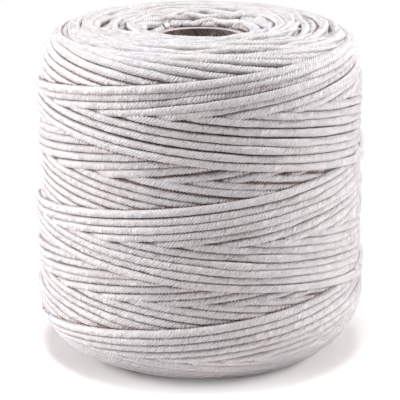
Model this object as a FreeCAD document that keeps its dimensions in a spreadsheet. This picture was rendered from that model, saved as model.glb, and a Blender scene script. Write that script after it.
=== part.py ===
"""Spool of soft cotton twine, cross-wound on a plain paperboard tube with no flanges.

The spool stands on its lower end face. The origin is at the centre of its foot, +Z runs up the
axis of the tube, and every size is in millimetres.
"""
import FreeCAD
import Part
import math
import os

import Sketcher

doc = FreeCAD.newDocument("twine_spool")

# Driving dimensions
SIZES = [
    ("spool_height", 89.0, "foot to crest of the wound twine"),
    ("radius_high", 43.0, "outside radius of the twine below the upper shoulder"),
    ("radius_low", 44.0, "outside radius of the twine above the lower shoulder"),
    ("shoulder_high", 12.6, "rounding radius of the upper shoulder"),
    ("shoulder_low", 14.6, "rounding radius of the lower shoulder"),
    ("hollow_high", 2.0, "drop of the upper face from its crest to the tube"),
    ("hollow_low", 1.2, "rise of the lower face from the foot to the tube"),
    ("foot_inner_radius", 20.0, "inside radius of the flat ring that the spool stands on"),
    ("bore_radius", 10.0, "inside radius of the paperboard tube"),
    ("liner_ply", 0.6, "thickness of the tube's inside ply"),
    ("body_plies", 1.3, "thickness of the tube's middle plies"),
    ("cover_ply", 0.6, "thickness of the tube's outside ply"),
    ("tube_top_recess", 3.7, "crest of the twine down to the upper end of the tube"),
    ("tube_foot_recess", 2.7, "foot up to the lower end of the tube"),
    ("twine_diameter", 2.0, "thickness of the twine"),
    ("twine_clearance", 0.1, "room between the outer layer and the layers below"),
    ("outer_turns", 24, "turns of the outer layer, from its first end to its last"),
    ("first_turn_radius", 15.0, "distance from the axis at which the outer layer comes up"),
    ("last_turn_angle", 52.0, "degrees round the lower shoulder at which the outer layer ends"),
    ("tuck_radius", 2.2, "bend radius where the twine dives into the layers below"),
    ("tuck_hole_radius", 1.9, "radius of the hole among the strands that takes a tucked end"),
]

sheet = doc.addObject("Spreadsheet::Sheet", "sizes")
for row, (alias, value, meaning) in enumerate(SIZES, start=1):
    sheet.set(f"A{row}", alias)
    sheet.set(f"B{row}", str(value))
    sheet.setAlias(f"B{row}", alias)
    sheet.set(f"C{row}", meaning)
doc.recompute()

# Worked-out dimensions, kept in the sheet below the driving ones
WORKED_OUT = [
    ("liner_outer_radius", "=bore_radius + liner_ply"),
    ("plies_outer_radius", "=liner_outer_radius + body_plies"),
    ("tube_outer_radius", "=plies_outer_radius + cover_ply"),
    ("tube_length", "=spool_height - tube_top_recess - tube_foot_recess"),
    ("layer_depth", "=twine_diameter + twine_clearance"),
    ("core_top", "=spool_height - layer_depth"),
    ("core_radius_high", "=radius_high - layer_depth"),
    ("core_radius_low", "=radius_low - layer_depth"),
    ("core_shoulder_high", "=shoulder_high - layer_depth"),
    ("core_shoulder_low", "=shoulder_low - layer_depth"),
    ("tuck_depth", "=tuck_radius + twine_diameter"),
]
for row, (alias, formula) in enumerate(WORKED_OUT, start=len(SIZES) + 1):
    sheet.set(f"A{row}", alias)
    sheet.set(f"B{row}", formula)
    sheet.setAlias(f"B{row}", alias)
    doc.recompute()


def origin_plane(body, role):
    """The body's own origin plane of that role."""
    for feature in body.Origin.OriginFeatures:
        if feature.Role == role:
            return feature
    raise ValueError(role)


def new_sketch(body, name, role):
    """An empty sketch on one of the body's origin planes."""
    sketch = body.newObject("Sketcher::SketchObject", name)
    sketch.AttachmentSupport = (origin_plane(body, role), [""])
    sketch.MapMode = "FlatFace"
    return sketch


def bind(sketch, constraint, expression):
    """Adds a dimension to the sketch and ties it to the sheet."""
    index = sketch.addConstraint(constraint)
    sketch.setExpression(f"Constraints[{index}]", expression)


def tube_ply(label, inner, outer):
    """One ply of the paperboard tube: a ring between two radii, padded to the tube's length."""
    body = doc.addObject("PartDesign::Body", label)
    ring = new_sketch(body, label + "_ring", "XY_Plane")
    for alias in (inner, outer):
        radius = sheet.get(alias)
        circle = Part.Circle(FreeCAD.Vector(0, 0, 0), FreeCAD.Vector(0, 0, 1), radius)
        index = ring.addGeometry(circle, False)
        ring.addConstraint(Sketcher.Constraint("Coincident", index, 3, -1, 1))
        bind(ring, Sketcher.Constraint("Radius", index, radius), f"sizes.{alias}")
    pad = body.newObject("PartDesign::Pad", label + "_length")
    pad.Profile = ring
    pad.setExpression("Length", "sizes.tube_length")
    body.setExpression("Placement.Base.z", "sizes.tube_foot_recess")
    return body


tube_liner = tube_ply("tube_liner_ply", "bore_radius", "liner_outer_radius")
tube_plies = tube_ply("tube_body_plies", "liner_outer_radius", "plies_outer_radius")
tube_cover = tube_ply("tube_cover_ply", "plies_outer_radius", "tube_outer_radius")


class Outline:
    """Half section of the layers below the outer one: radius across, height up, running from the
    upper face over the upper shoulder, down the side and round the lower shoulder to the foot.

    Upper face, side and foot are straight lines and the shoulders are arcs tangent to them."""

    def __init__(self):
        self.high = sheet.get("core_shoulder_high")
        self.low = sheet.get("core_shoulder_low")
        top = sheet.get("core_top")
        self.high_centre = (sheet.get("core_radius_high") - self.high, top - self.high)
        self.low_centre = (sheet.get("core_radius_low") - self.low, self.low)
        self.inner_top = (sheet.get("tube_outer_radius"), top - sheet.get("hollow_high"))
        self.inner_low = (sheet.get("tube_outer_radius"), sheet.get("hollow_low"))
        self.face_angle = self.tangent_from_inner_top()
        self.side_angle = self.tangent_of_both_shoulders()

    def tangent_from_inner_top(self):
        """Angle of the normal where the upper face runs into the upper shoulder."""
        across = self.inner_top[0] - self.high_centre[0]
        up = self.inner_top[1] - self.high_centre[1]
        distance = math.hypot(across, up)
        return math.atan2(up, across) - math.acos(self.high / distance)

    def tangent_of_both_shoulders(self):
        """Angle of the side's normal: the line is tangent to both shoulder arcs."""
        across = self.high_centre[0] - self.low_centre[0]
        up = self.high_centre[1] - self.low_centre[1]
        distance = math.hypot(across, up)
        return math.atan2(up, across) - math.acos((self.low - self.high) / distance)

    def on_high(self, angle, lift=0.0):
        """Point of the upper shoulder at that angle, lifted off along its normal."""
        reach = self.high + lift
        centre = self.high_centre
        return (centre[0] + reach * math.cos(angle), centre[1] + reach * math.sin(angle))

    def on_low(self, angle, lift=0.0):
        """Point of the lower shoulder at that angle, lifted off along its normal."""
        reach = self.low + lift
        centre = self.low_centre
        return (centre[0] + reach * math.cos(angle), centre[1] + reach * math.sin(angle))


outline = Outline()


def twine_core():
    """Inner layers of twine as one plain solid: the outline, the foot ring and the faces that
    fall away towards the tube, turned about the axis, with a hole for each tucked end."""
    body = doc.addObject("PartDesign::Body", "twine_inner_layers")
    section = new_sketch(body, "inner_layers_section", "XZ_Plane")
    face_end = outline.on_high(outline.face_angle)
    side_start = outline.on_high(outline.side_angle)
    side_end = outline.on_low(outline.side_angle)
    foot_outer = outline.on_low(-math.pi / 2)
    foot_inner = (sheet.get("foot_inner_radius"), 0.0)

    def line(start, end):
        return section.addGeometry(
            Part.LineSegment(FreeCAD.Vector(*start, 0), FreeCAD.Vector(*end, 0)), False)

    def arc(centre, radius, low, high):
        circle = Part.Circle(FreeCAD.Vector(*centre, 0), FreeCAD.Vector(0, 0, 1), radius)
        return section.addGeometry(Part.ArcOfCircle(circle, low, high), False)

    upper_face = line(outline.inner_top, face_end)
    upper_shoulder = arc(outline.high_centre, outline.high, outline.side_angle,
                         outline.face_angle)
    side = line(side_start, side_end)
    lower_shoulder = arc(outline.low_centre, outline.low, -math.pi / 2, outline.side_angle)
    foot = line(foot_outer, foot_inner)
    under_face = line(foot_inner, outline.inner_low)
    bore = line(outline.inner_low, outline.inner_top)

    # An arc's end of point 2 is its last one, anticlockwise; a line's point 1 is its first
    for joint in [(upper_face, 2, upper_shoulder, 2), (upper_shoulder, 1, side, 1),
                  (side, 2, lower_shoulder, 2), (lower_shoulder, 1, foot, 1)]:
        section.addConstraint(Sketcher.Constraint("Tangent", *joint))
    for joint in [(foot, 2, under_face, 1), (under_face, 2, bore, 1), (bore, 2, upper_face, 1)]:
        section.addConstraint(Sketcher.Constraint("Coincident", *joint))
    section.addConstraint(Sketcher.Constraint("Vertical", bore))
    section.addConstraint(Sketcher.Constraint("PointOnObject", foot, 1, -1))
    section.addConstraint(Sketcher.Constraint("PointOnObject", foot, 2, -1))

    bind(section, Sketcher.Constraint("Radius", upper_shoulder, outline.high),
         "sizes.core_shoulder_high")
    bind(section, Sketcher.Constraint("Radius", lower_shoulder, outline.low),
         "sizes.core_shoulder_low")
    placed = [
        (upper_shoulder, 3, outline.high_centre,
         "sizes.core_radius_high - sizes.core_shoulder_high",
         "sizes.core_top - sizes.core_shoulder_high"),
        (bore, 2, outline.inner_top, "sizes.tube_outer_radius",
         "sizes.core_top - sizes.hollow_high"),
    ]
    for geometry, point, (across, up), across_cell, up_cell in placed:
        bind(section, Sketcher.Constraint("DistanceX", -1, 1, geometry, point, across), across_cell)
        bind(section, Sketcher.Constraint("DistanceY", -1, 1, geometry, point, up), up_cell)
    bind(section, Sketcher.Constraint("DistanceX", -1, 1, lower_shoulder, 3, outline.low_centre[0]),
         "sizes.core_radius_low - sizes.core_shoulder_low")
    bind(section, Sketcher.Constraint("DistanceX", -1, 1, foot, 2, foot_inner[0]),
         "sizes.foot_inner_radius")
    bind(section, Sketcher.Constraint("DistanceY", -1, 1, under_face, 2, outline.inner_low[1]),
         "sizes.hollow_low")

    turned = body.newObject("PartDesign::Revolution", "inner_layers_turned")
    turned.Profile = section
    turned.ReferenceAxis = (section, ["V_Axis"])
    turned.Angle = 360
    doc.recompute()
    return body


STRAND = sheet.get("twine_diameter") / 2
LIFT = STRAND + sheet.get("twine_clearance")
TURNS = int(sheet.get("outer_turns"))


def layer_stretches():
    """The line of the outer layer's middle along the outline: straight, arc, straight, arc.

    Each stretch is its length and a function from the distance along it to the point
    (radius, height) and the angle of the outline's normal there."""
    face_angle = outline.face_angle
    side_angle = outline.side_angle
    end_angle = -math.radians(sheet.get("last_turn_angle"))
    face_end = outline.on_high(face_angle, LIFT)
    side_start = outline.on_high(side_angle, LIFT)
    face_run = (face_end[0] - sheet.get("first_turn_radius")) / math.sin(face_angle)
    side_run = math.dist(side_start, outline.on_low(side_angle, LIFT))
    high_reach = outline.high + LIFT
    low_reach = outline.low + LIFT

    def on_face(distance):
        back = face_run - distance
        across = face_end[0] - back * math.sin(face_angle)
        return (across, face_end[1] + back * math.cos(face_angle)), face_angle

    def on_upper_shoulder(distance):
        angle = face_angle - distance / high_reach
        return outline.on_high(angle, LIFT), angle

    def on_side(distance):
        across = side_start[0] + distance * math.sin(side_angle)
        return (across, side_start[1] - distance * math.cos(side_angle)), side_angle

    def on_lower_shoulder(distance):
        angle = side_angle - distance / low_reach
        return outline.on_low(angle, LIFT), angle

    return [
        (face_run, on_face),
        (high_reach * (face_angle - side_angle), on_upper_shoulder),
        (side_run, on_side),
        (low_reach * (side_angle - end_angle), on_lower_shoulder),
    ]


STRETCHES = layer_stretches()
LAYER_LENGTH = sum(length for length, place in STRETCHES)
STEP = LAYER_LENGTH / TURNS


def on_layer(turn):
    """Point, direction of travel and outward normal of the outer layer after so many turns.

    It goes round the axis and along the outline, by the same step each turn."""
    left = turn * STEP
    for length, place in STRETCHES[:-1]:
        if left <= length:
            break
        left -= length
    else:
        place = STRETCHES[-1][1]
    (radius, height), angle = place(left)
    turned = 2 * math.pi * turn
    outward = FreeCAD.Vector(math.cos(turned), math.sin(turned), 0)
    around = FreeCAD.Vector(-math.sin(turned), math.cos(turned), 0)
    upward = FreeCAD.Vector(0, 0, 1)
    down_outline = outward * math.sin(angle) - upward * math.cos(angle)
    travel = around * (2 * math.pi * radius) + down_outline * STEP
    normal = outward * math.cos(angle) + upward * math.sin(angle)
    return outward * radius + upward * height, travel.normalize(), normal


def tangent_arc(start, corner, end):
    """Circular arc from start to end whose end tangents meet at the corner."""
    middle = (start + end) * 0.5
    rise = corner - middle
    half_chord = (end - start).Length / 2
    sagitta = half_chord * math.tan(math.atan2(rise.Length, half_chord) / 2)
    return Part.Arc(start, middle + rise.normalize() * sagitta, end).toShape()


def biarc(start, start_way, end, end_way):
    """Two arcs that leave one point and reach another with the given directions."""
    chord = end - start
    ways = start_way + end_way
    spread = 2 * (1 - start_way.dot(end_way))
    along = chord.dot(ways)
    reach = (math.sqrt(along * along + spread * chord.dot(chord)) - along) / spread
    first_corner = start + start_way * reach
    second_corner = end - end_way * reach
    join = (first_corner + second_corner) * 0.5
    return [tangent_arc(start, first_corner, join), tangent_arc(join, second_corner, end)]


def tuck(turn, side):
    """Where the twine dives under at an end of the layer: the bend's start, corner and end, and
    the end of the straight run that meets the hole's floor. side is -1 before the layer and 1
    after it."""
    bend = sheet.get("tuck_radius")
    place, travel, normal = on_layer(turn)
    corner = place + travel * (side * bend)
    bend_end = corner - normal * bend
    floor = bend_end - normal * (2 * STRAND)
    return place, corner, bend_end, floor


PARTS_PER_TURN = 4


def twine_path():
    """Line of the outer layer: up out of the layers below, round the axis, and back in."""
    start, start_corner, start_bend, start_floor = tuck(0, -1)
    end, end_corner, end_bend, end_floor = tuck(TURNS, 1)
    edges = [Part.LineSegment(start_floor, start_bend).toShape()]
    edges.append(tangent_arc(start_bend, start_corner, start))
    for part in range(TURNS * PARTS_PER_TURN):
        here, here_way, _ = on_layer(part / PARTS_PER_TURN)
        there, there_way, _ = on_layer((part + 1) / PARTS_PER_TURN)
        edges.extend(biarc(here, here_way, there, there_way))
    edges.append(tangent_arc(end, end_corner, end_bend))
    edges.append(Part.LineSegment(end_bend, end_floor).toShape())
    return Part.Wire(edges)


def least_gap(path):
    """Least gap from the tube's surface to itself, between points of its line that lie more
    than half of the first turn apart along it and less than two of the largest turns."""
    spacing = 1.0
    points = path.discretize(Distance=spacing)
    nearest = int(math.pi * sheet.get("first_turn_radius") / spacing)
    furthest = int(4 * math.pi * sheet.get("radius_low") / spacing)
    least = min((point - other).Length
                for index, point in enumerate(points)
                for other in points[index + nearest:index + furthest])
    return least - 2 * STRAND


def twine_outer_layer():
    """The outer layer as one unbroken round tube along its line."""
    path = twine_path()
    start_floor = path.Edges[0].Vertexes[0].Point
    start_way = path.Edges[0].tangentAt(path.Edges[0].FirstParameter)
    circle = Part.Wire([Part.Circle(start_floor, start_way, STRAND).toShape()])
    tube = path.makePipeShell([circle], True, False)
    layer = doc.addObject("Part::Feature", "twine_outer_layer")
    layer.Shape = tube
    layer.Placement = FreeCAD.Placement()
    print(f"outer layer: {TURNS} turns, {path.Length:.0f} mm long, {len(path.Edges)} edges")
    print(f"outer layer: step between turns {STEP:.2f} mm")
    print(f"outer layer: least gap to itself {least_gap(path):.2f} mm")
    print(f"outer layer: volume over section times length "
          f"{tube.Volume / (math.pi * STRAND ** 2 * path.Length):.4f}")
    radii = [edge.Curve.Radius for edge in path.Edges if hasattr(edge.Curve, "Radius")]
    print(f"outer layer: arc radii {min(radii):.1f} to {max(radii):.1f} mm")
    return layer


def tuck_hole(body, name, turn, side):
    """Hole among the inner strands whose floor the tucked end meets squarely."""
    *_, bend_end, floor = tuck(turn, side)
    up_the_hole = FreeCAD.Rotation(FreeCAD.Vector(0, 0, 1), bend_end - floor)
    hole = body.newObject("PartDesign::SubtractiveCylinder", name)
    hole.Placement = FreeCAD.Placement(floor, up_the_hole)
    hole.setExpression("Radius", "sizes.tuck_hole_radius")
    hole.setExpression("Height", "sizes.tuck_depth")
    doc.recompute()


inner_layers = twine_core()
solid_volume = inner_layers.Shape.Volume
tuck_hole(inner_layers, "first_tuck_hole", 0, -1)
tuck_hole(inner_layers, "last_tuck_hole", TURNS, 1)
outer_layer = twine_outer_layer()

doc.recompute()
print(f"tuck holes take {solid_volume - inner_layers.Shape.Volume:.1f} cubic mm of twine")

nodes = [tube_liner, tube_plies, tube_cover, inner_layers, outer_layer]
for item in doc.Objects:
    for state in ("Invalid", "Error"):
        if state in item.State:
            raise RuntimeError(f"{item.Label} is {state}")
for node in nodes:
    if node.Shape.isNull() or not node.Shape.isValid():
        raise RuntimeError(f"{node.Label} has no valid shape")

os.makedirs("parts", exist_ok=True)
for node in nodes:
    node.Shape.exportStep(f"parts/{node.Label}.step")
    box = node.Shape.BoundBox
    print(f"{node.Label}: volume {node.Shape.Volume:.0f}, z {box.ZMin:.2f} to {box.ZMax:.2f}, "
          f"x {box.XMin:.2f} to {box.XMax:.2f}")
print("overlap of outer layer and inner layers:",
      round(outer_layer.Shape.common(inner_layers.Shape).Volume, 3))
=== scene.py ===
"""A package of natural cotton twine wound crosswise on a paperboard tube.

The twine is laid the way a winding machine lays it: the tube turns, a guide runs up and down
beside it, and every stroke of the guide leaves one strand on top of those already there. The
strands that can still be seen when the package is full become the pieces of the model.

Lengths are in metres. Places on the package are told by the turn, from 0 to 1 around it, and
by the way, the distance along its outline from the hole at the top, over the shoulders and
down the side, to the hole at the foot.
"""

import functools
import math
from types import SimpleNamespace

import bpy
import numpy as np
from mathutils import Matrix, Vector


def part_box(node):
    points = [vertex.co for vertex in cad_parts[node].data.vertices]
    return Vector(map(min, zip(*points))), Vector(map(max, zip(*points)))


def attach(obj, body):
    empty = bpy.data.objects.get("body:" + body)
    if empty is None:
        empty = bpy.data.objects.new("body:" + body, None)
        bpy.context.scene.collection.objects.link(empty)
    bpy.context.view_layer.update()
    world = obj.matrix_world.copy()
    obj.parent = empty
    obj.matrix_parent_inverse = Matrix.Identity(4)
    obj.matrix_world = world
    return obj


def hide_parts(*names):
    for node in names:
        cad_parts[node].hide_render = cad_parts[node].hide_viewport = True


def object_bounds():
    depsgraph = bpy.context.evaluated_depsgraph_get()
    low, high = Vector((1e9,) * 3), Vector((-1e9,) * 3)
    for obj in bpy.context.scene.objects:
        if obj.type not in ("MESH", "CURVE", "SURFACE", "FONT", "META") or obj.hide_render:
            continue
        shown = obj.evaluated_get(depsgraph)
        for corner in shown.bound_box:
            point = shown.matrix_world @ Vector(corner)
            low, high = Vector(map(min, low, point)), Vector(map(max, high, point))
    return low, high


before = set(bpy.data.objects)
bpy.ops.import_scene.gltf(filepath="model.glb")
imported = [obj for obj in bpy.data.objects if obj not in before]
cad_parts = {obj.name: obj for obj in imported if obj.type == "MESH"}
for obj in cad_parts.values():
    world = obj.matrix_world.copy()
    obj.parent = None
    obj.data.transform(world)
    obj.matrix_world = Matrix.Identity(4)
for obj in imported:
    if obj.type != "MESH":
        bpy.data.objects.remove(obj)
CAD_BOX = [list(corner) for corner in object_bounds()]

bl_info = {
    "name": "Twine spool",
    "version": (1, 0, 0),
    "blender": (4, 5, 0),
    "location": "3D View > Sidebar > Spool",
    "description": "Winds cotton twine on a paperboard tube, and gives it finishes and a stage",
    "category": "Add Mesh",
}

MM = 0.001
TURN = 2 * math.pi
FRONT = -0.25  # the turn that faces the camera
CELLS = 1350  # samples of the twine in a turn, which lie about 0.2 mm apart
STRIP = 0.2 * MM  # spacing of the surface's samples along the package's outline
BARE = -30 * MM  # height of the surface where no twine lies yet
SHARP = 0.998  # 1 would turn the guide round on the spot, and less rounds its turning points

TWINE_FOOT, TWINE_TOP = (corner[2] for corner in CAD_BOX)
TUBE_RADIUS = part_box("tube_cover_ply")[1].x
LINER_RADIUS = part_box("tube_liner_ply")[1].x


def length(name, default, description):
    """A length property in metres."""
    return bpy.props.FloatProperty(
        name=name, description=description, default=default, min=0, max=1,
        unit="LENGTH", precision=5,
    )


def colour(name, default, description):
    """A linear colour property."""
    return bpy.props.FloatVectorProperty(
        name=name, description=description, default=default, min=0, max=1, size=3,
        subtype="COLOR",
    )


def amount(name, default, description, low=0.0, high=10.0):
    """A plain number property."""
    return bpy.props.FloatProperty(
        name=name, description=description, default=default, min=low, max=high
    )


class SPOOL_PG_outline(bpy.types.PropertyGroup):
    """The rounded outline that the package of twine keeps"""

    radius_high: length("Radius above", 0.0430, "Package radius under the top shoulder")
    radius_low: length("Radius below", 0.0440, "Package radius over the lower shoulder")
    shoulder_in: length("Top shoulder, inwards", 0.0138, "How far the top shoulder rounds inwards")
    shoulder_down: length("Top shoulder, down", 0.0117, "How far down the top shoulder reaches")
    shoulder_power: amount("Top shoulder power", 2.13, "2 is an ellipse, and more is squarer")
    heel_in: length("Lower shoulder, inwards", 0.0157, "How far the lower shoulder rounds inwards")
    heel_up: length("Lower shoulder, up", 0.0143, "How far up the lower shoulder reaches")
    heel_power: amount("Lower shoulder power", 1.60, "Under 2 the shoulder is more of a slope")
    dish_high: length("Top hollow", 0.0036, "How far the top face falls towards the tube")
    dish_power: amount("Top hollow power", 5.0, "The more, the nearer to the tube the face falls")
    dish_low: length("Foot hollow", 0.0012, "How far the foot rises towards the tube")
    foot_radius: length("Foot ring", 0.0200, "Inner radius of the ring that the package stands on")


class SPOOL_PG_winding(bpy.types.PropertyGroup):
    """How the machine lays the twine"""

    thickness: length("Twine thickness", 0.0020, "Thickness of the twine across the strand")
    pitch: length("Rise per turn", 0.0316, "How far a strand moves along the package in a turn")
    band: amount("Strands per band", 15.8, "Strands laid side by side until a layer closes", 4, 40)
    turns: bpy.props.IntProperty(
        name="Turns per cycle", default=6, min=3, max=12,
        description="Turns of the tube while the guide goes up and down once, before the shift",
    )
    cycles: bpy.props.IntProperty(
        name="Cycles", default=118, min=8, max=160,
        description="Up and down strokes worked out before the package is full",
    )
    growth: length("Growth", 0.000232, "How much a cycle adds to the package radius")
    lowest_way: length("Lower turning point", 0.1217, "Way at which a strand turns upwards")
    front_height: length("Front crossing", 0.0496, "Height at which the last rising strand faces front")
    top_error: length("Top error", 0.0018, "How unevenly the strands turn on the top face")
    press: length("Press", 0.00022, "How deep a strand presses into those under it")
    evening: amount("Evening", 0.75, "How much of the broad lumps the twine's pull takes away", 0, 1)
    slack: length("Slack", 0.0018, "The less, the higher the pull draws up what lies deep")
    seed: bpy.props.IntProperty(name="Seed", default=5, description="Varies the guide's small errors")


class SPOOL_PG_finish(bpy.types.PropertyGroup):
    """Colours of the twine and the tube"""

    cotton: colour("Cotton", (0.85, 0.826, 0.863), "Open surface of the twine")
    cotton_warm: colour("Warmer cotton", (0.74, 0.69, 0.66), "Patches along the twine")
    cotton_cream: colour("Creamy cotton", (0.82, 0.77, 0.73), "Broad patches over many strands")
    # painted shade in the grooves between the plies; the finish also darkens random fibres and streaks
    # with it, and the inner layers' painted shade mixes it in
    cotton_shade: colour("Between the plies", (0.52, 0.48, 0.47), "Narrow lines between the plies")
    # painted warm shade on the strands' flanks beside the creases
    cotton_crease_edge_shade: colour("Beside the creases", (0.52, 0.40, 0.38), "Warm light between two strands")
    # painted shade on strands seen deep in gaps between others
    cotton_gap_shade: colour("Wide gaps", (0.33, 0.27, 0.265), "Strands seen through a gap between others")
    # painted dark shade in the creases between strands
    cotton_crease_shade: colour("Narrow gaps", (0.25, 0.18, 0.162), "Creases between strands")
    plies: bpy.props.IntProperty(
        name="Plies", default=6, min=2, max=8, description="Plies of the twine",
    )
    hairs: bpy.props.IntProperty(
        name="Loose fibres", default=6000, min=0, max=9000, description="Loose fibres that stand out",
    )
    ply_depth: amount("Ply relief", 0.16, "How deep the grooves between the plies are", 0, 0.5)
    lay: length("Lay", 0.0051, "Length in which a ply goes once round the twine")
    board: colour("Board", (0.25, 0.195, 0.18), "Lighter fibres of the tube's inside ply")
    board_dark: colour("Dark board", (0.055, 0.038, 0.034), "Darker fibres and cracks of that ply")
    paper: colour("Paper", (0.54, 0.49, 0.51), "Other plies of the tube")


class Value:
    """A socket of a material's nodes. Arithmetic on values adds Math nodes."""

    def __init__(self, finish, socket):
        self.finish, self.socket = finish, socket

    def math(self, operation, *others):
        """A Math node, with this value in its first socket."""
        values = {number: value for number, value in enumerate((self, *others))}
        return self.finish.node("Math", {"operation": operation}, values)

    def __add__(self, other):
        return self.math("ADD", other)

    def __sub__(self, other):
        return self.math("SUBTRACT", other)

    def __mul__(self, other):
        return self.math("MULTIPLY", other)

    def __rsub__(self, other):
        return self.finish.node("Math", {"operation": "SUBTRACT"}, {0: other, 1: self})

    __radd__, __rmul__ = __add__, __mul__


class Finish:
    """A Principled material whose pattern is written as expressions on values."""

    def __init__(self, name, **constants):
        self.material = bpy.data.materials.new(name)
        self.material.use_nodes = True
        self.tree = self.material.node_tree
        self.shader = self.tree.nodes["Principled BSDF"]
        for socket, value in constants.items():
            self.shader.inputs[socket.replace("_", " ")].default_value = value

    def node(self, kind, settings=None, inputs=None, output=0):
        """Adds a node: its settings first, then the values or links of its sockets."""
        made = self.tree.nodes.new("ShaderNode" + kind)
        for name, value in (settings or {}).items():
            setattr(made, name, value)
        for name, value in (inputs or {}).items():
            if isinstance(value, Value):
                self.tree.links.new(value.socket, made.inputs[name])
            else:
                made.inputs[name].default_value = value
        return Value(self, made.outputs[output])

    def place(self):
        """The place on the object, in metres."""
        return self.node("TexCoord", output="Object")

    def part(self, vector, number):
        """The vector's x, y or z, told by the numbers 0 to 2."""
        return self.node("SeparateXYZ", None, {"Vector": vector}, number)

    def length_of(self, vector):
        """The vector's length."""
        return self.node("VectorMath", {"operation": "LENGTH"}, {0: vector}, "Value")

    def measure(self, name):
        """The number that a vertex has in the attribute of that name."""
        return self.node("Attribute", {"attribute_name": name}, output="Fac")

    def noise(self, place, scale, detail=2.0, roughness=0.5):
        """Noise from 0 to 1 at a place."""
        return self.node(
            "TexNoise", None,
            {"Vector": place, "Scale": scale, "Detail": detail, "Roughness": roughness},
        )

    def between(self, factor, first, second):
        """The colour between two others."""
        colours = [v if isinstance(v, Value) else (*v, 1) for v in (first, second)]
        # the Mix node's colour sockets share their names with others, so they go by number
        inputs = {0: factor, 6: colours[0], 7: colours[1]}
        return self.node("Mix", {"data_type": "RGBA"}, inputs, 2)

    def eased(self, value, low, high):
        """0 at low, 1 at high, and smooth between."""
        return self.node(
            "MapRange", {"interpolation_type": "SMOOTHSTEP"},
            {"Value": value, "From Min": low, "From Max": high},
        )

    def feed(self, socket, value):
        """Links a value to a socket of the shader."""
        self.tree.links.new(value.socket, self.shader.inputs[socket])

    def raise_by(self, height, distance):
        """Feeds the Normal from a height, whose 1 stands for the distance."""
        self.feed("Normal", self.node("Bump", None, {"Height": height, "Distance": distance}))


def package_outline(p):
    """The package's half outline, as radius, height and outward normal by the way along it.

    The top face falls from the crest to the hole along a power curve. Each shoulder is a
    superellipse: inwards by a*sin(t)^(2/n), down by b*cos(t)^(2/n). The side is a straight
    cone, and the foot is a flat ring with a shallow hollow inside it.
    """
    step = 0.1 * MM
    t = np.linspace(0, 1, 400)
    rim = TUBE_RADIUS + 0.1 * MM
    crest = p.radius_high - p.shoulder_in
    heel = p.radius_low - p.heel_in
    high, low = TWINE_TOP - p.shoulder_down, TWINE_FOOT + p.heel_up
    quarter = t * TURN / 4

    def corner(power):
        return np.sin(quarter) ** (2 / power), np.cos(quarter) ** (2 / power)

    out_high, up_high = corner(p.shoulder_power)
    down_low, out_low = corner(p.heel_power)
    runs = (
        (rim + (crest - rim) * t, TWINE_TOP - p.dish_high * (1 - t) ** p.dish_power),
        (crest + p.shoulder_in * out_high, high + p.shoulder_down * up_high),
        (p.radius_high + (p.radius_low - p.radius_high) * t, high + (low - high) * t),
        (heel + p.heel_in * out_low, low - p.heel_up * down_low),
        (heel + (p.foot_radius - heel) * t, TWINE_FOOT + 0 * t),
        (p.foot_radius + (rim - p.foot_radius) * t, TWINE_FOOT + p.dish_low * t),
    )
    radius, height = (np.concatenate([run[k] for run in runs]) for k in (0, 1))
    along = np.concatenate([[0], np.cumsum(np.hypot(np.diff(radius), np.diff(height)))])
    keep = np.concatenate([[True], np.diff(along) > 1e-9])
    way = np.arange(0, along[-1], step)
    radius, height = (smoothed(np.interp(way, along[keep], v[keep]), 15) for v in (radius, height))
    across, down = np.gradient(radius, step), np.gradient(height, step)
    size = np.hypot(across, down)
    return SimpleNamespace(
        way=way, radius=radius, height=height, out=-down / size, up=across / size, end=way[-1]
    )


def outline_at(line, way):
    """The outline's radius, height and outward normal at a way."""
    return (np.interp(way, line.way, v) for v in (line.radius, line.height, line.out, line.up))


def smoothed(values, reach):
    """The mean over reach samples each way, weighted to the middle; the ends run on straight."""
    weights = np.hanning(2 * reach + 3)[1:-1]
    padded = np.pad(values, reach, mode="reflect", reflect_type="odd")
    return np.convolve(padded, weights / weights.sum(), mode="valid")


def taut_over(rest):
    """The heights of a taut strand over its supports.

    Between two supports 2a apart it runs straight, so that it lies at least at their mean
    less a^2 / (2*radius) over the round package. Taking the larger of that and the support
    for longer and longer a, and for shorter ones again, gives the hull of the supports.
    """
    spacing, radius = 0.2 * MM, 40 * MM  # of the samples along the strand, and of the package
    taut = rest.copy()
    for reach in (4, 8, 16, 32, 50, 32, 16, 8, 4):
        drop = (reach * spacing) ** 2 / (2 * radius)
        straight = (taut[2 * reach :] + taut[: -2 * reach]) / 2 - drop
        taut[reach:-reach] = np.maximum(taut[reach:-reach], straight)
    return taut


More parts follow.
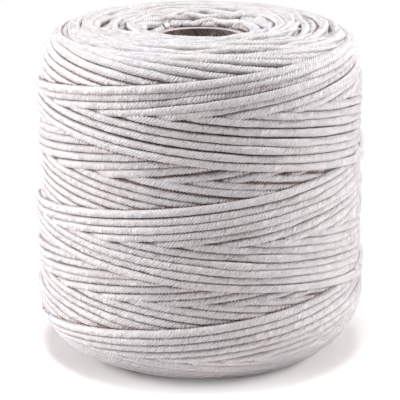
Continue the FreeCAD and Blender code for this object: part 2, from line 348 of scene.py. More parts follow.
def guide_course(w, line):
    """Where the guide lays every sample of the twine, and the cell round the package it is in.

    The guide's stroke is a triangle wave with rounded ends, arccos(-sharp*cos(phase)) / pi,
    about 1 at the foot and 0 at the top, and half is its number of samples. The cells start
    where they let the last rising strand pass the front at its set height. To the stroke come
    the errors at each turning point, which calm down at the top in the last cycles, two
    wanders all along, and two more near the top: one smaller in the last turns, and one that
    fades in the middle of the winding. In the cycle k the package is smaller than its final
    outline by growth*(cycles - k).
    """
    rng = np.random.default_rng(w.seed)
    cycle = w.turns - 1 / w.band
    reach = cycle * w.pitch / 2
    highest = w.lowest_way - reach
    steps = int(round(w.cycles * cycle * CELLS))
    turn = np.arange(steps + 1) / CELLS
    end = turn[-1]
    phase = TURN * turn / cycle
    way = highest + reach * (np.arccos(-SHARP * np.cos(phase)) / math.pi)

    side = 300  # the outline's samples before this are its top face and half the shoulder
    front_way = np.interp(-w.front_height, -line.height[side:], line.way[side:])
    last_rise = end - cycle + (w.lowest_way - front_way) / w.pitch
    cell = (np.arange(steps + 1) + int(round((FRONT - last_rise) * CELLS))) % CELLS

    def wander(spacing, size):
        """A random error of a size every spacing turns, and straight lines between them."""
        knots = max(int(end / spacing), 2)
        return np.interp(turn, np.linspace(0, end, knots), rng.normal(0, size, knots))

    foot_error = 0.9 * MM
    past_top = 0.5 * MM  # how much nearer to the hole the turning points at the top lie
    turning = rng.normal(0, foot_error, 2 * w.cycles + 2)
    calm = smooth_step(np.arange(w.cycles + 1.0), w.cycles - 26, w.cycles - 14)
    turning[1::2] = rng.normal(-past_top, w.top_error * (1 - 0.9 * calm))
    near_turning = np.cos(phase) ** 16
    error = turning[np.rint(2 * turn / cycle).astype(int)] * near_turning
    error += wander(0.18, 0.05 * MM) + wander(0.7, 0.11 * MM)
    near_top = 1 - smooth_step(way, 0.030, 0.045)
    late = smooth_step(turn, 0.78 * end, 0.88 * end)
    error += wander(0.09, 0.35 * MM) * near_top * (1 - 0.7 * late)
    early = 1 - smooth_step(turn, 0.45 * end, 0.75 * end)
    error += smoothed(wander(0.07, 2.4 * MM), 15) * near_top * early
    way = np.clip(way + error, 0.9 * MM, line.end - 1.0 * MM)
    top_end = highest + reach * math.acos(SHARP) / math.pi
    return SimpleNamespace(
        way=way, cell=cell, top_end=top_end, steps=steps, half=int(round(cycle * CELLS / 2)),
        smaller=w.growth * (w.cycles - turn / cycle),
    )


def on_outline(line, guide, wide):
    """Each sample's nearest way on the final outline, and its depth under the outline.

    The guide's stroke runs along the outline of the smaller package, which is the final one
    moved inwards, and whose top face keeps its slope. A first guess of the nearest way is
    bettered 25 times, by going along the outline some of the distance that is still left.
    """
    radius = np.interp(guide.way, line.way, line.radius) - guide.smaller
    height = np.interp(guide.way, line.way, line.height)
    top = line.way < guide.top_end
    edge_radius, edge_height = line.radius[top][-1], line.height[top][-1]
    inner_height = np.interp(edge_radius - guide.smaller, line.radius[top], line.height[top])
    in_upper_half = smooth_step(height, 0.5 * TWINE_TOP, 0.85 * TWINE_TOP)
    height = height + (inner_height - edge_height) * in_upper_half
    radius = np.maximum(radius, line.radius[0] + wide)

    by_radius = np.interp(radius, line.radius[top], line.way[top])
    outer = line.radius > edge_radius
    by_height = np.interp(-height, -line.height[outer], line.way[outer])
    by_side = np.where(height > edge_height, by_radius, by_height)
    way = np.where(height < 0.1 * TWINE_TOP, guide.way + 0.7 * guide.smaller, by_side)
    for _ in range(25):
        way = np.clip(way, 0.5 * MM, line.end - 0.5 * MM)
        r, z, out, up = outline_at(line, way)
        way = way + 0.6 * ((radius - r) * up - (height - z) * out)
    return way, -((radius - r) * out + (height - z) * up)


@functools.cache
def laid_twine():
    """Winds the package and returns every strand's course and the surface that is left.

    The surface is a height over the outline on a grid of turn and way. Stroke by stroke, a
    strand rests on the highest thing under it: its centre lies at the largest of height +
    sqrt(r^2 - d^2) over the strips d across it, pressed in a little and pulled taut along its
    length, and its own round back is then added to the surface.
    """
    scene = bpy.context.scene
    w, line = scene.spool_winding, package_outline(scene.spool_outline)
    flat, wide = 0.475 * w.thickness, 0.50 * w.thickness  # half the strand's height and width
    guide = guide_course(w, line)
    cell, steps, half = guide.cell, guide.steps, guide.half
    way, depth = on_outline(line, guide, wide)
    on_top = smooth_step(-way, -0.040, -0.030)
    wanted = np.minimum(-depth, 0) * on_top - depth * (1 - on_top) - flat
    drop = 0.25 * MM + 0.75 * MM * on_top  # how far a strand may fall into a gap
    most_rise = 1.6 * MM  # how far the strands under it may lift it

    surface = np.full((CELLS, int(line.end / STRIP) + 1), BARE, np.float32)
    centre = np.full(steps + 1, BARE)
    under = np.linspace(-0.72, 0.72, 7)  # strips across the strand, in half widths
    lead = 160  # how many samples before and after a stroke are pulled taut with it
    for stroke in range(2 * w.cycles):
        start, stop = stroke * half, min((stroke + 1) * half, steps)
        before, after = max(start - lead, 0), min(stop + lead, steps + 1)
        ahead = slice(start, after)
        column = place_in(surface, way[ahead, None] + under * wide)
        rest = (surface[cell[ahead, None], column] + flat * np.sqrt(1 - under**2)).max(1)
        lowest = wanted[ahead] - drop[ahead]
        fresh = np.clip(rest - w.press, lowest, wanted[ahead] + most_rise)
        taut = smoothed(taut_over(np.concatenate([centre[before:start], fresh])), 10)
        centre[start:stop] = taut[start - before : stop - before]
        laid = slice(start, stop)
        cover(surface, cell[laid], way[laid], centre[laid], flat, wide)

    lumps = uneven_part(surface, w.evening)
    surface -= lumps.astype(np.float32)
    centre -= lumps[cell, place_in(surface, way)]
    true_centre, true_surface = centre, surface
    # what lies deep is drawn up by the turns laid over it, and keeps its order
    centre = drawn_up(centre + flat, w.slack) - flat
    surface = drawn_up(surface, w.slack)
    for start in range(0, steps, half):
        laid = slice(start, start + half)
        cover(surface, cell[laid], way[laid], centre[laid], flat, wide)
    return SimpleNamespace(
        line=line, way=way, centre=centre, cell=cell, surface=surface, flat=flat, wide=wide,
        true_centre=true_centre, true_surface=true_surface,
        shown=seen(surface, cell, way, centre, flat, wide),
    )


def uneven_part(surface, evening):
    """What the pull of the twine takes away, so that the outermost turns lie on the outline.

    That is how far the surface's crown, its high places at each way, stands off the outline,
    and the share evening of the lumps that are wider than a few strands.
    """
    uncovered, deepest = -2 * MM, -1.5 * MM
    crown = np.percentile(surface, 88, axis=0)
    covered = np.flatnonzero(crown > uncovered)
    crown = smoothed(crown[np.clip(np.arange(len(crown)), covered[0], covered[-1])], 40)
    return crown + evening * broad(np.maximum(surface - crown, deepest))


def drawn_up(height, slack):
    """A depth d becomes d / (1 + d / slack), and a height over the outline, with half the slack."""
    deep, high = np.maximum(-height, 0), np.maximum(height, 0)
    return high / (1 + high / (0.5 * slack)) - deep / (1 + deep / slack)


def smooth_step(value, low, high):
    """0 under low, 1 over high, and smooth between."""
    t = np.clip((value - low) / (high - low), 0, 1)
    return t * t * (3 - 2 * t)


def broad(surface):
    """The surface's lumps that are wider than a few strands, by running means along and around."""
    for axis, reach, mode in ((1, 30, "edge"), (0, 60, "wrap")):
        edges = [(0, 0), (0, 0)]
        edges[axis] = (reach + 1, reach)
        width = 2 * reach + 1
        sums = np.cumsum(np.pad(surface, edges, mode=mode), axis=axis)
        later, earlier = np.split(sums, [width], axis)[1], np.split(sums, [-width], axis)[0]
        surface = (later - earlier) / width
    return surface


def place_in(surface, way):
    """The column of the surface's grid at a way."""
    return np.clip(np.rint(way / STRIP).astype(int), 0, surface.shape[1] - 1)


def cover(surface, cell, way, centre, flat, wide):
    """Raises the surface to a strand's round back, centre + flat*sqrt(1 - a^2) at a*wide across."""
    for across in np.linspace(-0.95, 0.95, 13):
        column = place_in(surface, way + across * wide)
        back = centre + flat * math.sqrt(1 - across**2)
        surface[cell, column] = np.maximum(surface[cell, column], back)


def seen(surface, cell, way, centre, flat, wide):
    """True where some part of a strand's back is the surface, or only a little under it."""
    little = 0.28 * MM
    best = np.full(len(way), -1.0)
    for across in np.linspace(-0.9, 0.9, 7):
        column = place_in(surface, way + across * wide)
        best = np.maximum(best, centre + flat * math.sqrt(1 - across**2) - surface[cell, column])
    return best > -little


def stretches_of(mask):
    """The first sample of every run of True, and the sample after its last."""
    edges = np.diff(np.concatenate([[0], mask.astype(int), [0]]))
    return np.flatnonzero(edges == 1), np.flatnonzero(edges == -1)


def along_twine(laid):
    """The centre line of the whole twine, its outward and crosswise directions, and its run.

    A centre is the outline's point plus the strand's height along the outline's normal. The
    crosswise direction is the strand's own times the normal, and side is 1 where it points
    down the way and -1 where it points up. Along the run, the strand's thickness and the
    twist of its plies, in turns, wander a little.
    """
    r, z, out, up = outline_at(laid.line, laid.way)
    angle = laid.cell * TURN / CELLS
    aim = np.stack([np.cos(angle), np.sin(angle), 0 * angle], 1)
    level = np.array([0, 0, 1])
    outward = aim * out[:, None] + level * up[:, None]
    down_way = aim * up[:, None] - level * out[:, None]
    centre = aim * (r + out * laid.centre)[:, None]
    centre[:, 2] = z + up * laid.centre
    along = unit(np.gradient(centre, axis=0))
    crosswise = unit(np.cross(along, outward))
    side = np.sign((crosswise * down_way).sum(1))
    outward = unit(outward - along * (along * outward).sum(1)[:, None])
    run = np.concatenate([[0], np.cumsum(np.linalg.norm(np.diff(centre, axis=0), axis=1))])
    rng = np.random.default_rng(11)

    def wander(mean, size, spacing):
        """Random values round a mean, one every spacing along the run."""
        knots = rng.normal(mean, size, int(run[-1] / spacing))
        return np.interp(run, np.linspace(0, run[-1], len(knots)), knots)

    return SimpleNamespace(
        centre=centre, outward=outward, crosswise=crosswise, side=side, run=run,
        thick=wander(1, 0.028, 9 * MM),
        twist=run / bpy.context.scene.spool_finish.lay + wander(0, 0.05, 7 * MM),
    )


def unit(vectors):
    """The vectors made one long."""
    return vectors / np.linalg.norm(vectors, axis=1)[:, None]


def fill_mesh(name, places, faces, uv=None, numbers=None):
    """A piece from its vertex places and its faces, each row of which is one quad or polygon.

    The map called strand takes uv, one pair for each corner of the faces, and each of the
    numbers becomes an attribute of the vertices.
    """
    mesh = bpy.data.meshes.new(name)
    sizes = np.concatenate([np.full(len(rows), rows.shape[1]) for rows in faces])
    corners = np.concatenate([rows.ravel() for rows in faces])
    mesh.vertices.add(len(places))
    mesh.vertices.foreach_set("co", places.astype(np.float32).ravel())
    mesh.loops.add(len(corners))
    mesh.loops.foreach_set("vertex_index", corners.astype(np.int32))
    mesh.polygons.add(len(sizes))
    starts = np.concatenate([[0], np.cumsum(sizes)[:-1]])
    mesh.polygons.foreach_set("loop_start", starts.astype(np.int32))
    mesh.update(calc_edges=True)
    mesh.polygons.foreach_set("use_smooth", np.ones(len(sizes), bool))
    if uv is not None:
        layer = mesh.uv_layers.new(name="strand")
        layer.uv.foreach_set("vector", uv.astype(np.float32).ravel())
    for label, values in (numbers or {}).items():
        mesh.attributes.new(label, "FLOAT", "POINT").data.foreach_set(
            "value", values.astype(np.float32).ravel()
        )
    if mesh.validate():
        raise RuntimeError(f"{name}: the mesh had faulty faces")
    piece = bpy.data.objects.new(name, mesh)
    bpy.context.scene.collection.objects.link(piece)
    return piece


def grid_faces(rows, columns, close_rows=False):
    """The quads of a grid of vertices, closed along its rows, and round all rows where asked."""
    i = np.arange(rows if close_rows else rows - 1)[:, None]
    j = np.arange(columns)[None, :]
    i2, j2 = (i + 1) % rows, (j + 1) % columns
    corners = i * columns + j, i * columns + j2, i2 * columns + j2, i2 * columns + j
    return np.stack(np.broadcast_arrays(*corners), -1).reshape(-1, 4)


def tube_faces(near, first, last, sides):
    """The quads from every ring in near to the ring after it, and caps on the end rings."""
    j = np.arange(sides)[None, :]
    next_j = (j + 1) % sides
    this = near[:, None] * sides
    following = this + sides
    corners = this + j, this + next_j, following + next_j, following + j
    quads = np.stack(np.broadcast_arrays(*corners), -1).reshape(-1, 4)
    caps = np.concatenate([first[:, None] * sides + j[:, ::-1], last[:, None] * sides + j])
    return quads, caps


def rounded(wave):
    """A sine or cosine made squarer, so that the section is a superellipse of this power."""
    power = 3.0
    return np.sign(wave) * np.abs(wave) ** (2 / power)


def strand_piece(name, laid, twine, rings, stretch):
    """Tubes around chosen stretches of the twine, as one piece.

    A ring stands at each kept sample. Its vertices are centre + wide*cos(v)*crosswise +
    flat*sin(v)*outward with a squarer sine and cosine. The ring turns with the plies along the
    length, it is a little thicker where a ply lies, and it thins and sinks towards the ends,
    which have caps and lie under other strands. The map holds the length along the twine and
    the angle round it. The attributes tell how far the strands on both sides of a vertex stand
    above it: crease by those close beside it, and shelter by those farther away as well.
    """
    c = bpy.context.scene.spool_finish
    sides, taper = 12, 2.2 * MM
    j = np.arange(sides)
    v = (j / sides + twine.twist[rings][:, None]) * TURN
    lobes = 1 + c.ply_depth * (np.abs(np.sin(c.plies * math.pi * j / sides)) - 0.5)
    run = twine.run[rings]
    bounds = np.flatnonzero(np.diff(stretch, prepend=-1, append=-1))
    number = np.repeat(np.arange(len(bounds) - 1), np.diff(bounds))
    from_end = np.minimum(run - run[bounds[number]], run[bounds[number + 1] - 1] - run)
    whole = smooth_step(from_end, 0, taper)[:, None]
    size = twine.thick[rings][:, None] * lobes * (0.3 + 0.7 * whole)
    pressed = 1.06  # strands that lie side by side are pressed wider until they touch
    across = rounded(np.cos(v)) * pressed * laid.wide * size
    height = rounded(np.sin(v)) * laid.flat * size
    sunk = 0.4 * MM * (1 - whole)
    places = (
        twine.centre[rings][:, None]
        + twine.crosswise[rings][:, None] * across[..., None]
        + twine.outward[rings][:, None] * (height - sunk)[..., None]
    )
    places[..., 2] = np.maximum(places[..., 2], TWINE_FOOT)
    own_way = laid.way[rings][:, None] + across * twine.side[rings][:, None]
    own_height = laid.true_centre[rings][:, None] + height
    own_cell = laid.cell[rings][:, None]

    def stands_over(*reaches):
        """How far the strands on both sides of a vertex stand above it, in half thicknesses."""
        left, right = (
            functools.reduce(np.maximum, (
                laid.true_surface[own_cell, place_in(laid.surface, own_way + way * reach)]
                for reach in reaches
            )) for way in (-1, 1)
        )
        mixed = 0.7 * np.minimum(left, right) + 0.3 * np.maximum(left, right)
        return np.clip((mixed - own_height) / laid.flat, -1, 3)

    # crease and shelter are the masks by which the twine's finish paints shade in creases and gaps
    numbers = {
        "crease": stands_over(0.28 * MM, 0.48 * MM),
        "shelter": stands_over(0.35 * MM, 0.60 * MM, 1.0 * MM),
    }

    meets_next = stretch[1:] == stretch[:-1]
    near = np.flatnonzero(meets_next)
    first = np.flatnonzero(np.concatenate([[True], ~meets_next]))
    last = np.flatnonzero(np.concatenate([~meets_next, [True]]))
    quads, caps = tube_faces(near, first, last, sides)
    start, end, this, following = np.broadcast_arrays(
        run[near][:, None], run[near + 1][:, None], j / sides, (j + 1) / sides
    )
    quad_uv = np.stack([start, this, start, following, end, following, end, this], -1)
    cap_uv = np.stack([run[caps // sides], caps % sides / sides], -1)
    uv = np.concatenate([quad_uv.reshape(-1, 2), cap_uv.reshape(-1, 2)])
    return fill_mesh(name, places.reshape(-1, 3), [quads, caps], uv, numbers)


def twine_finish():
    """Matte cotton: plies and yarns slant across the strand, and the creases have painted brown shade.

    The strand map's second value turns with the plies, so a ply's height is the sine of half
    that value's phase, times the number of plies. The yarns within the plies are finer. The
    marks between the plies are painted shade, weaker in patches, and a little stronger near
    the top, where the light grazes the strands. Strands that lie deep between others get
    painted shade, and the specks break up the edges of the painted shade in the creases.
    """
    c = bpy.context.scene.spool_finish
    finish = Finish("cotton_twine", Roughness=0.95, Specular_IOR_Level=0.15, Sheen_Weight=0.03)
    strand = finish.node("UVMap", {"uv_map": "strand"})
    along, around = finish.part(strand, 0), finish.part(strand, 1)
    crease, shelter = finish.measure("crease"), finish.measure("shelter")
    place = finish.place()
    cloud = finish.noise(place, 260, 3, 0.6)
    creamy = finish.noise(place, 48, 2, 0.5)
    fibres = finish.noise(place, 3600, 3, 0.65)
    uneven = finish.noise(place, 700, 2, 0.6)
    patches = finish.noise(place, 520, 2, 0.6)
    drawn = finish.node("CombineXYZ", None, {"X": along * 500, "Y": around * 42})
    streaks = finish.noise(drawn, 1.0, 2, 0.6)
    # loose is 1 near the top, where the painted shade between the plies grows stronger because the
    # light grazes the strands there
    loose = finish.eased(finish.part(place, 2), 0.068, 0.084)
    ply = ((around * c.plies + uneven * 0.8 - 0.4) * math.pi).math("SINE").math("ABSOLUTE")
    ply_shade_amount = finish.eased(patches, 0.22, 0.65) * (loose * 0.15 + 0.70)
    # painted shade in the grooves between the plies
    shade = finish.between(finish.eased(ply, 0.75, 0.0) * ply_shade_amount, c.cotton, c.cotton_shade)
    shade = finish.between(finish.eased(streaks, 0.45, 0.70) * 0.28, shade, c.cotton_shade)
    shade = finish.between(finish.eased(fibres, 0.45, 0.75) * 0.20, shade, c.cotton_shade)
    shade = finish.between(finish.eased(cloud, 0.40, 0.75) * 0.22, shade, c.cotton_warm)
    shade = finish.between(finish.eased(creamy, 0.42, 0.66) * 0.45, shade, c.cotton_cream)
    speck = fibres * 0.4 + cloud * 0.6 - 0.10
    # painted warm shade on the flanks beside the creases, by the crease depth
    shade = finish.between(finish.eased(crease + speck, 0.42, 0.80) * 0.55, shade, c.cotton_crease_edge_shade)
    # painted shade on strands that lie deep between others, by the shelter
    shade = finish.between(finish.eased(shelter + speck, 1.2, 2.3), shade, c.cotton_gap_shade)
    # painted dark shade in the creases, by the crease depth
    shade = finish.between(finish.eased(crease + speck, 0.55, 1.20), shade, c.cotton_crease_shade)
    finish.feed("Base Color", shade)
    finish.raise_by(ply * 0.7 + streaks * 0.8 + fibres * 0.5, 0.38 * MM)
    return finish.material


class SPOOL_OT_lay_twine(bpy.types.Operator):
    """Lay the strands of twine that show on the package"""

    bl_idname = "spool.lay_twine"
    bl_label = "Lay the twine"

    def execute(self, context):
        """Keeps what shows, but for the shortest bits, and a margin at both ends of it."""
        shortest, margin = 0.25 * MM, 2.8 * MM
        laid = laid_twine()
        twine = along_twine(laid)
        run = twine.run
        end = len(run) - 1
        starts, stops = stretches_of(laid.shown)
        starts, stops = run[starts], run[np.minimum(stops, end)]
        kept = stops - starts > shortest
        mask = np.zeros(len(run), int)
        np.add.at(mask, np.searchsorted(run, starts[kept] - margin), 1)
        np.add.at(mask, np.minimum(np.searchsorted(run, stops[kept] + margin), end), -1)
        starts, stops = stretches_of(np.cumsum(mask) > 0)
        self.make_pieces(laid, twine, starts, np.minimum(stops, end))
        return {"FINISHED"}

    def make_pieces(self, laid, twine, starts, stops):
        """Sorts the stretches by where their middles lie, and makes equally long pieces of them."""
        run, spacing, pieces = twine.run, 0.5 * MM, 11
        lengths = run[stops] - run[starts]
        order = np.argsort(laid.way[(starts + stops) // 2])
        share = np.cumsum(lengths[order]) / lengths.sum()
        number = np.minimum((share * pieces).astype(int), pieces - 1)
        finish = twine_finish()
        for k in range(pieces):
            rings, stretch = [], []
            for one in order[number == k]:
                count = max(int(lengths[one] / spacing) + 2, 3)
                at = np.linspace(run[starts[one]], run[stops[one]], count)
                rings.append(np.minimum(np.unique(np.searchsorted(run, at)), len(run) - 1))
                stretch.append(np.full(len(rings[-1]), one))
            name = f"twine_turns_{k + 1:02}"
            piece = strand_piece(name, laid, twine, np.concatenate(rings), np.concatenate(stretch))
            piece.data.materials.append(finish)
            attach(piece, "root")
            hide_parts("twine_outer_layer")


class SPOOL_OT_raise_fuzz(bpy.types.Operator):
    """Raise the loose fibres on the outermost strands"""

    bl_idname = "spool.raise_fuzz"
    bl_label = "Raise the fuzz"

    def execute(self, context):
        """Each hair is root + size*(t*lean + t^2*bend), with a thinning three-sided section.

        It stands on the outer part of a strand that shows, just under the strand's skin, and
        leans partly outwards, partly along the strand and partly anywhere.
        """
        thick = 0.022 * MM  # radius at the root
        shortest, longest = 0.3, 1.7  # in millimetres
        laid = laid_twine()
        twine = along_twine(laid)
        rng = np.random.default_rng(23)
        count = context.scene.spool_finish.hairs
        at = rng.choice(np.flatnonzero(laid.shown), count)
        v = rng.uniform(0.15, 0.85, count) * math.pi
        along = unit(np.gradient(twine.centre, axis=0)[at])
        lift = np.cos(v)[:, None] * twine.crosswise[at] + np.sin(v)[:, None] * twine.outward[at]
        root = twine.centre[at] + laid.flat * 0.95 * lift
        swept = rng.normal(0, 0.6, count)[:, None] * along
        lean = unit(0.55 * lift + swept + rng.normal(0, 0.25, (count, 3)))
        bend = rng.normal(0, 0.45, (count, 3)) - 0.15 * lift
        size = (rng.gamma(3.0, 0.25, count).clip(shortest, longest) * MM)[:, None, None]
        t = np.linspace(0, 1, 4)[None, :, None]  # four rings to a hair
        line = root[:, None] + size * (t * lean[:, None] + t**2 * bend[:, None])
        first = unit(np.cross(lean, rng.normal(0, 1, (count, 3))))
        second = np.cross(lean, first)
        w = np.arange(3) * TURN / 3
        section = np.cos(w)[:, None] * first[:, None] + np.sin(w)[:, None] * second[:, None]
        radius = thick * (1 - 0.6 * t[..., None])
        places = line[:, :, None] + radius * section[:, None]
        places[..., 2] = np.maximum(places[..., 2], TWINE_FOOT)
        rings = np.arange(count * 4).reshape(count, 4)
        faces = tube_faces(rings[:, :-1].ravel(), rings[:, 0], rings[:, -1], len(w))
        piece = fill_mesh("twine_fuzz", places.reshape(-1, 3), faces)
        finish = Finish("cotton_fuzz", Roughness=0.9, Specular_IOR_Level=0.2)
        c = context.scene.spool_finish
        stains = finish.noise(finish.place(), 300)
        finish.feed("Base Color", finish.between(stains, c.cotton_warm, c.cotton))
        piece.data.materials.append(finish.material)
        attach(piece, "root")
        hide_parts("twine_outer_layer")
        return {"FINISHED"}


class SPOOL_OT_pack_core(bpy.types.Operator):
    """Pack the layers under the strands that show"""

    bl_idname = "spool.pack_core"
    bl_label = "Pack the inner layers"

    def execute(self, context):
        """A surface under the lowest of each block of the twine's surface and its neighbours.

        A vertex is the outline's point plus the block's height along the outline's normal. The
        surface ends on the tube at the top and at the foot, and is closed along the tube.
        """
        around, along = 5, 4  # samples of the twine's surface in a block
        gap, deepest, highest = 0.35 * MM, -6 * MM, -1 * MM
        laid = laid_twine()
        height = laid.surface[:, : laid.surface.shape[1] // along * along]
        blocks = height.reshape(CELLS // around, around, -1, along).min((1, 3))
        blocks = functools.reduce(np.minimum, (np.roll(blocks, k, 0) for k in (-1, 0, 1)))
        padded = np.pad(blocks, ((0, 0), (1, 1)), mode="edge")
        blocks = np.minimum(np.minimum(padded[:, :-2], padded[:, 2:]), blocks)
        sunk = np.clip(blocks - gap, deepest, highest)
        r, z, out, up = outline_at(laid.line, (np.arange(blocks.shape[1]) + 0.5) * along * STRIP)
        radius = np.maximum(r + out * sunk, TUBE_RADIUS + 0.05 * MM)
        level = np.maximum(z + up * sunk, TWINE_FOOT + 0.3 * MM)
        bore = np.full((len(blocks), 1), TUBE_RADIUS)
        radius = np.concatenate([bore, radius, bore], 1)
        level = np.concatenate([level[:, :1] - 1 * MM, level, level[:, -1:] + 1 * MM], 1)
        angle = (np.arange(len(blocks)) + 0.5)[:, None] * TURN / len(blocks)
        places = np.stack([radius * np.cos(angle), radius * np.sin(angle), level], -1)
        faces = grid_faces(*places.shape[:2], close_rows=True)[:, ::-1]
        piece = fill_mesh("twine_inner_layers_dressed", places.reshape(-1, 3), [faces])
        c = context.scene.spool_finish
        finish = Finish("cotton_shadowed", Roughness=0.95, Specular_IOR_Level=0.2)
        stains = finish.noise(finish.place(), 900)
        # painted shade: the inner layers take the darker gap and ply shade colours instead of the
        # cotton
        finish.feed("Base Color", finish.between(stains, c.cotton_gap_shade, c.cotton_shade))
        piece.data.materials.append(finish.material)
        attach(piece, "root")
        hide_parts("twine_inner_layers")
        return {"FINISHED"}


def board_finish():
    """Rough brown board: dark and light fibres, and thin cracks that slant round the bore."""
    c = bpy.context.scene.spool_finish
    finish = Finish("tube_board", Roughness=0.9, Specular_IOR_Level=0.2)
    place = finish.place()
    x, y, z = (finish.part(place, number) for number in range(3))
    round_bore = y.math("ARCTAN2", x) * LINER_RADIUS
    speckle = finish.noise(place, 2600, 3, 0.7)
    stains = finish.noise(place, 260, 3, 0.6)
    bent = finish.node("CombineXYZ", None, {
        "X": round_bore - z * 0.7 + stains * (2.5 * MM), "Y": z * 0.45 + speckle * (0.4 * MM),
    })
    crack = finish.node(
        "TexVoronoi", {"feature": "DISTANCE_TO_EDGE", "voronoi_dimensions": "2D"},
        {"Vector": bent, "Scale": 330.0},
    )
    shade = finish.between(finish.eased(speckle, 0.38, 0.68), c.board_dark, c.board)
    shade = finish.between(finish.eased(stains, 0.35, 0.7) * 0.5, shade, c.board)
    open_crack = finish.eased(crack, 0.07, 0.02) * finish.eased(stains, 0.36, 0.60)
    shade = finish.between(open_crack * 0.85, shade, c.board_dark)
    finish.feed("Base Color", shade)
    finish.raise_by(speckle * 0.5 - open_crack, 0.25 * MM)
    return finish.material


def paper_finish(name):
    """Grey paper in thin plies: fine rings on the cut end, and faint fibres all over."""
    c = bpy.context.scene.spool_finish
    finish = Finish(name, Roughness=0.8, Specular_IOR_Level=0.3)
    ply = 0.45 * MM  # thickness of one ply of the paper
    place = finish.place()
    flat_place = finish.node("VectorMath", {"operation": "MULTIPLY"}, {0: place, 1: (1, 1, 0)})
    away = finish.length_of(flat_place)
    fibres = finish.noise(place, 2200, 3, 0.6)
    stains = finish.noise(place, 300, 2, 0.5)
    ring = ((away * (1 / ply) + stains * 0.5) * math.pi).math("SINE").math("ABSOLUTE")
    shade = finish.between(finish.eased(ring, 0.35, 0.0) * 0.5, c.paper, c.board)
    shade = finish.between(finish.eased(fibres, 0.5, 0.75) * 0.35, shade, c.board)
    finish.feed("Base Color", finish.between(finish.eased(stains, 0.4, 0.7) * 0.25, shade, c.board))
    finish.raise_by(ring * 0.5 + fibres, 0.08 * MM)
    return finish.material


class SPOOL_OT_finish_tube(bpy.types.Operator):
    """Give the tube's plies their board and paper finishes"""

    bl_idname = "spool.finish_tube"
    bl_label = "Finish the tube"

    def execute(self, context):
        for node, finish in (
            ("tube_liner_ply", board_finish()), ("tube_body_plies", paper_finish("tube_body_paper")),
            ("tube_cover_ply", paper_finish("tube_cover_paper")),
        ):
            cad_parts[node].material_slots[0].material = finish
        return {"FINISHED"}


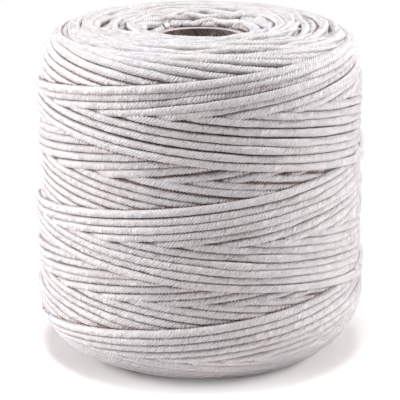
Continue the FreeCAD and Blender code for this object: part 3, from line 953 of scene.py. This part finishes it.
class SPOOL_OT_set_stage(bpy.types.Operator):
    """Put the floor, the lamps and the camera in place"""

    bl_idname = "spool.set_stage"
    bl_label = "Set the stage"

    def execute(self, context):
        scene = context.scene
        scene.view_settings.view_transform = "Standard"
        self.lay_floor()
        self.hang_lamps(scene)
        self.place_camera(scene)
        return {"FINISHED"}

    def lay_floor(self):
        """A wide round floor: rings of vertices, radius by ring and angle round it.

        Near the spool it is lit and shows the shadow. Farther away, along an ellipse, it
        blends into the white background for every ray that looks at it.
        """
        radius, sides = np.array([0.001, 0.2, 6.0]), 64
        angle = np.arange(sides) * TURN / sides
        places = np.stack([
            radius[:, None] * np.cos(angle), radius[:, None] * np.sin(angle),
            np.zeros((len(radius), sides)),
        ], -1)
        quads = grid_faces(*places.shape[:2])[:, ::-1]
        middle = np.arange(sides)[None, :]
        piece = fill_mesh("floor", places.reshape(-1, 3), [quads, middle])
        finish = Finish("floor_white", Roughness=1.0, Specular_IOR_Level=0.0)
        finish.shader.inputs["Base Color"].default_value = (0.93, 0.89, 0.885, 1)
        stretch, shift = (0.76, 1.22, 1), (3.0 * MM, 0, 0)
        stretched = finish.node(
            "VectorMath", {"operation": "MULTIPLY_ADD"}, {0: finish.place(), 1: stretch, 2: shift}
        )
        rays = [finish.node("LightPath", None, None, name) for name in
                ("Is Camera Ray", "Is Glossy Ray", "Is Transmission Ray")]
        looked_at = rays[0] + rays[1] + rays[2]
        white = finish.node("Emission", None, {"Color": (1, 1, 1, 1), "Strength": 1.0})
        blend = finish.eased(finish.length_of(stretched), 0.0295, 0.060) * looked_at
        lit = Value(finish, finish.shader.outputs[0])
        shown = finish.node("MixShader", None, {0: blend, 1: lit, 2: white})
        output = finish.tree.nodes["Material Output"]
        finish.tree.links.new(shown.socket, output.inputs["Surface"])
        piece.data.materials.append(finish.material)

    def hang_lamps(self, scene):
        """A faint white surrounding, and round soft lamps that all face the spool's middle."""
        world = bpy.data.worlds.new("studio")
        scene.world = world
        world.use_nodes = True
        background = world.node_tree.nodes["Background"].inputs
        background["Color"].default_value = (1, 1, 1, 1)
        background["Strength"].default_value = 0.20
        middle = np.array([0, 0, 0.045])
        lamps = {  # the place, the size and the power of each
            "lamp_left": ((-0.85, -0.02, 0.35), 0.5, 9.5),
            "lamp_right": ((0.85, 0.10, 0.36), 0.5, 8.9),
            "lamp_top": ((-0.03, -0.17, 0.92), 0.35, 7.2),
        }
        for name, (place, size, power) in lamps.items():
            lamp = bpy.data.lights.new(name, "AREA")
            lamp.shape, lamp.size, lamp.energy = "DISK", size, power
            holder = bpy.data.objects.new(name, lamp)
            scene.collection.objects.link(holder)
            holder.location = place
            x, y, z = middle - place
            tilt, heading = math.atan2(math.hypot(x, y), -z), math.atan2(y, x) - TURN / 4
            holder.rotation_euler = (tilt, 0, heading)

    def place_camera(self, scene):
        """A long lens in front of the spool, a little above it and tilted down."""
        tilt = 0.281
        camera = bpy.data.cameras.new("camera")
        camera.lens, camera.sensor_width = 172.7, 36.0
        holder = bpy.data.objects.new("camera", camera)
        scene.collection.objects.link(holder)
        holder.location = (0, -0.500, 0.1844)
        holder.rotation_euler = (TURN / 4 - tilt, 0, 0)
        scene.camera = holder


class SPOOL_PT_sidebar(bpy.types.Panel):
    """Lists the steps that make the spool"""

    bl_idname = "SPOOL_PT_sidebar"
    bl_label = "Twine spool"
    bl_space_type = "VIEW_3D"
    bl_region_type = "UI"
    bl_category = "Spool"

    def draw(self, context):
        for step in STEPS:
            self.layout.operator(step.bl_idname)


STEPS = (
    SPOOL_OT_lay_twine, SPOOL_OT_raise_fuzz, SPOOL_OT_pack_core, SPOOL_OT_finish_tube,
    SPOOL_OT_set_stage,
)
GROUPS = {
    "spool_outline": SPOOL_PG_outline,
    "spool_winding": SPOOL_PG_winding,
    "spool_finish": SPOOL_PG_finish,
}


def register():
    for part in (*GROUPS.values(), *STEPS, SPOOL_PT_sidebar):
        bpy.utils.register_class(part)
    for name, group in GROUPS.items():
        setattr(bpy.types.Scene, name, bpy.props.PointerProperty(type=group))


def unregister():
    for name in GROUPS:
        delattr(bpy.types.Scene, name)
    for part in (SPOOL_PT_sidebar, *reversed(STEPS), *GROUPS.values()):
        bpy.utils.unregister_class(part)


def main():
    register()
    for step in STEPS:
        group, name = step.bl_idname.split(".")
        getattr(getattr(bpy.ops, group), name)()


if __name__ == "__main__":
    main()
